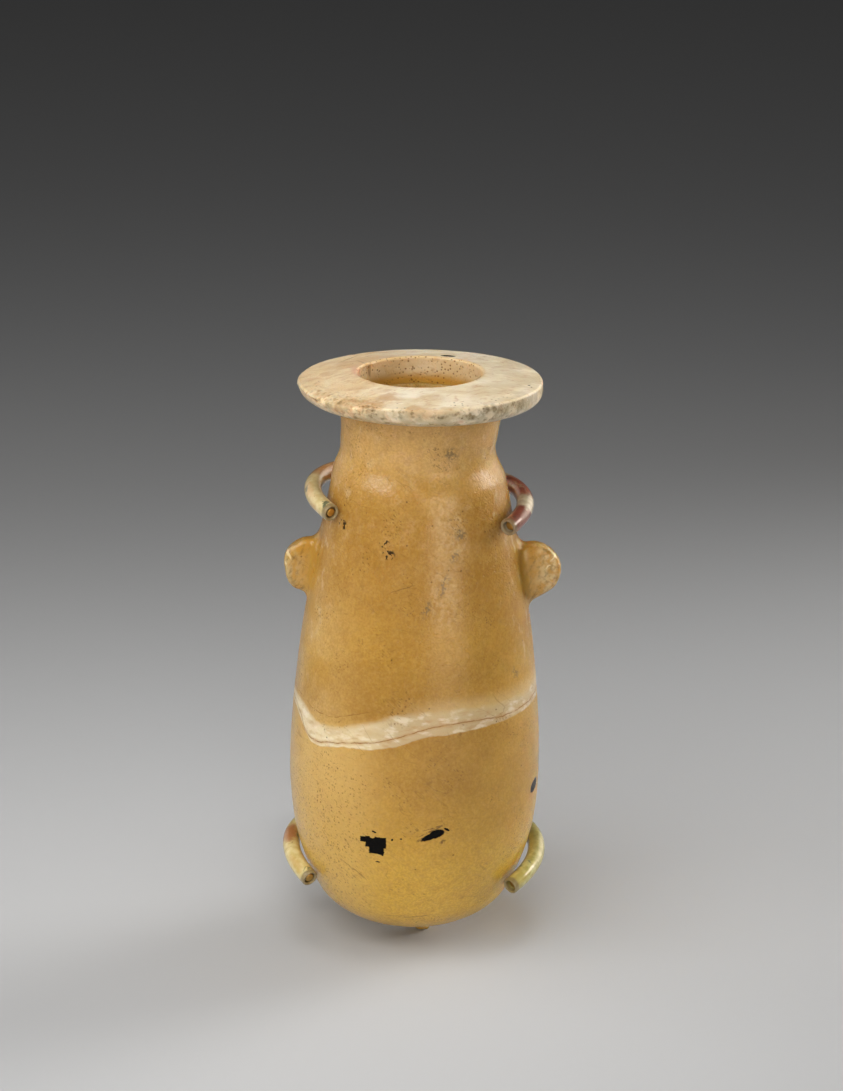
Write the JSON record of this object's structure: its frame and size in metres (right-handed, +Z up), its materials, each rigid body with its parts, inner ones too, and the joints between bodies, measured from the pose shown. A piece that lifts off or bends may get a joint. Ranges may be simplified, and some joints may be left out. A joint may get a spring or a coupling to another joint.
{
  "type": "alabastron",
  "caption": "Slender stone perfume vessel with a broad disc mouth and small side lugs, held upright by padded wire claws on a spine with a flat foot.",
  "frame": {"origin": "centre of the foot plate's underside, on the floor", "axes": "+Z up, the vessel's front faces -Y, +X is the vessel's right side as the viewer sees it"},
  "size_m": [0.0742, 0.1326, 0.1551],
  "materials": {
    "honey_calcite": "satin",
    "cream_calcite": "satin",
    "brass": "satin",
    "cream_sleeve": "gloss",
    "russet_sleeve": "gloss",
    "ochre_sleeve": "gloss",
    "olive_sleeve": "gloss",
    "foot_paint": "satin"
  },
  "bodies": {
    "root": {"alabastron_body": "honey_calcite", "rim_disc": "cream_calcite", "upper_arm_wire": "brass", "lower_arm_wire": "brass", "sleeve_upper_left": "cream_sleeve", "sleeve_upper_right": "russet_sleeve", "sleeve_lower_left": "ochre_sleeve", "sleeve_lower_right": "olive_sleeve", "cradle_spine": "brass", "foot_plate": "foot_paint"}
  },
  "joints": []
}
